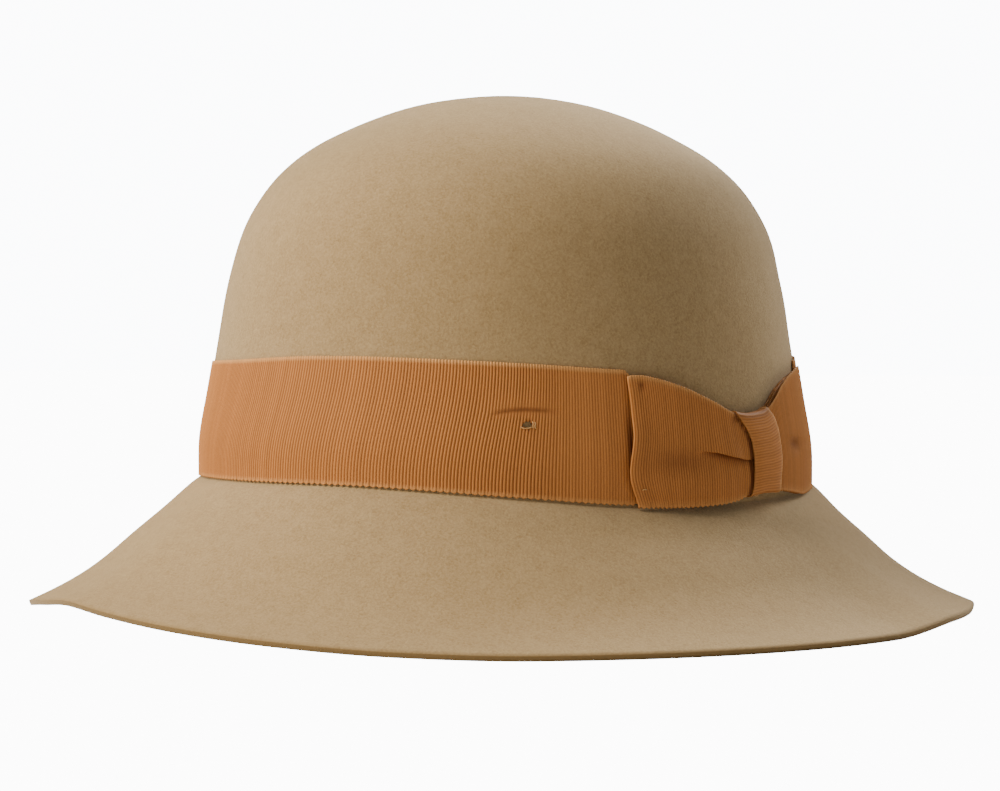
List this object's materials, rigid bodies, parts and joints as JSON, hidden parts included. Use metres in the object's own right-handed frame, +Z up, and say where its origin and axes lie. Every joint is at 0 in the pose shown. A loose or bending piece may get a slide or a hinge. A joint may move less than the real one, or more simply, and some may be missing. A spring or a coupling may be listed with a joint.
{
  "type": "cloche hat",
  "caption": "Felt cloche hat with a round crown, a drooping bell brim, a grosgrain ribbon band and a flat side bow.",
  "frame": {"origin": "the middle of the brim on the surface that the hat rests on", "axes": "+Z up through the crown, -Y the front of the hat, +X the wearer's left, where the bow is"},
  "size_m": [0.2714, 0.293, 0.1568],
  "materials": {
    "felt": "matte wool felt",
    "ribbon": "ribbed grosgrain, low sheen"
  },
  "bodies": {
    "root": {"felt_body": "felt", "ribbon_band": "ribbon", "bow_loops": "ribbon", "bow_knot": "ribbon"}
  },
  "joints": []
}
